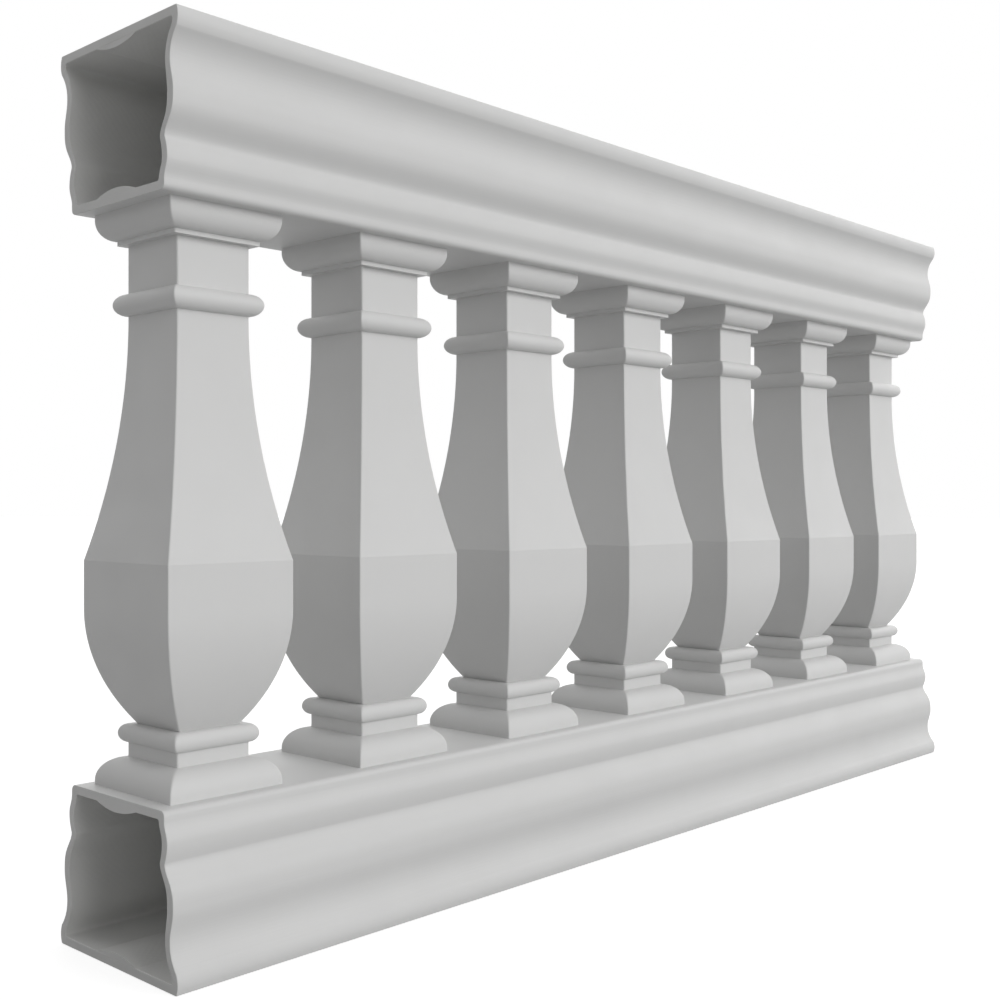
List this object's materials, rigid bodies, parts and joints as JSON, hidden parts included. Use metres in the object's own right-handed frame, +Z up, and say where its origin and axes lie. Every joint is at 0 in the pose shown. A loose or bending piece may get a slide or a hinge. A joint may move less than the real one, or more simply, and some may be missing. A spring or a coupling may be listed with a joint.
{
  "type": "fiberglass balustrade section",
  "caption": "Straight balustrade section with square vase balusters between hollow moulded top and bottom rails.",
  "frame": {"origin": "on the ground, under the middle of the section", "axes": "+X along the rails, +Y from the front face to the back face, +Z up"},
  "size_m": [1.6292, 0.21, 0.914],
  "materials": {
    "rail_gelcoat": "satin off-white gelcoat on moulded glass-fibre laminate",
    "baluster_gelcoat": "satin off-white gelcoat on moulded glass-fibre laminate",
    "laminate": "bare resin-rich glass-fibre tape, laid by hand"
  },
  "bodies": {
    "root": {"top_rail_front_shell": "rail_gelcoat", "top_rail_back_shell": "rail_gelcoat", "bottom_rail_front_shell": "rail_gelcoat", "bottom_rail_back_shell": "rail_gelcoat", "top_rail_crown_lap": "laminate", "bottom_rail_crown_lap": "laminate", "top_rail_foot_lap": "laminate", "bottom_rail_foot_lap": "laminate", "baluster_1_front_half": "baluster_gelcoat", "baluster_1_back_half": "baluster_gelcoat", "baluster_2_front_half": "baluster_gelcoat", "baluster_2_back_half": "baluster_gelcoat", "baluster_3_front_half": "baluster_gelcoat", "baluster_3_back_half": "baluster_gelcoat", "baluster_4_front_half": "baluster_gelcoat", "baluster_4_back_half": "baluster_gelcoat", "baluster_5_front_half": "baluster_gelcoat", "baluster_5_back_half": "baluster_gelcoat", "baluster_6_front_half": "baluster_gelcoat", "baluster_6_back_half": "baluster_gelcoat", "baluster_7_front_half": "baluster_gelcoat", "baluster_7_back_half": "baluster_gelcoat"}
  },
  "joints": []
}
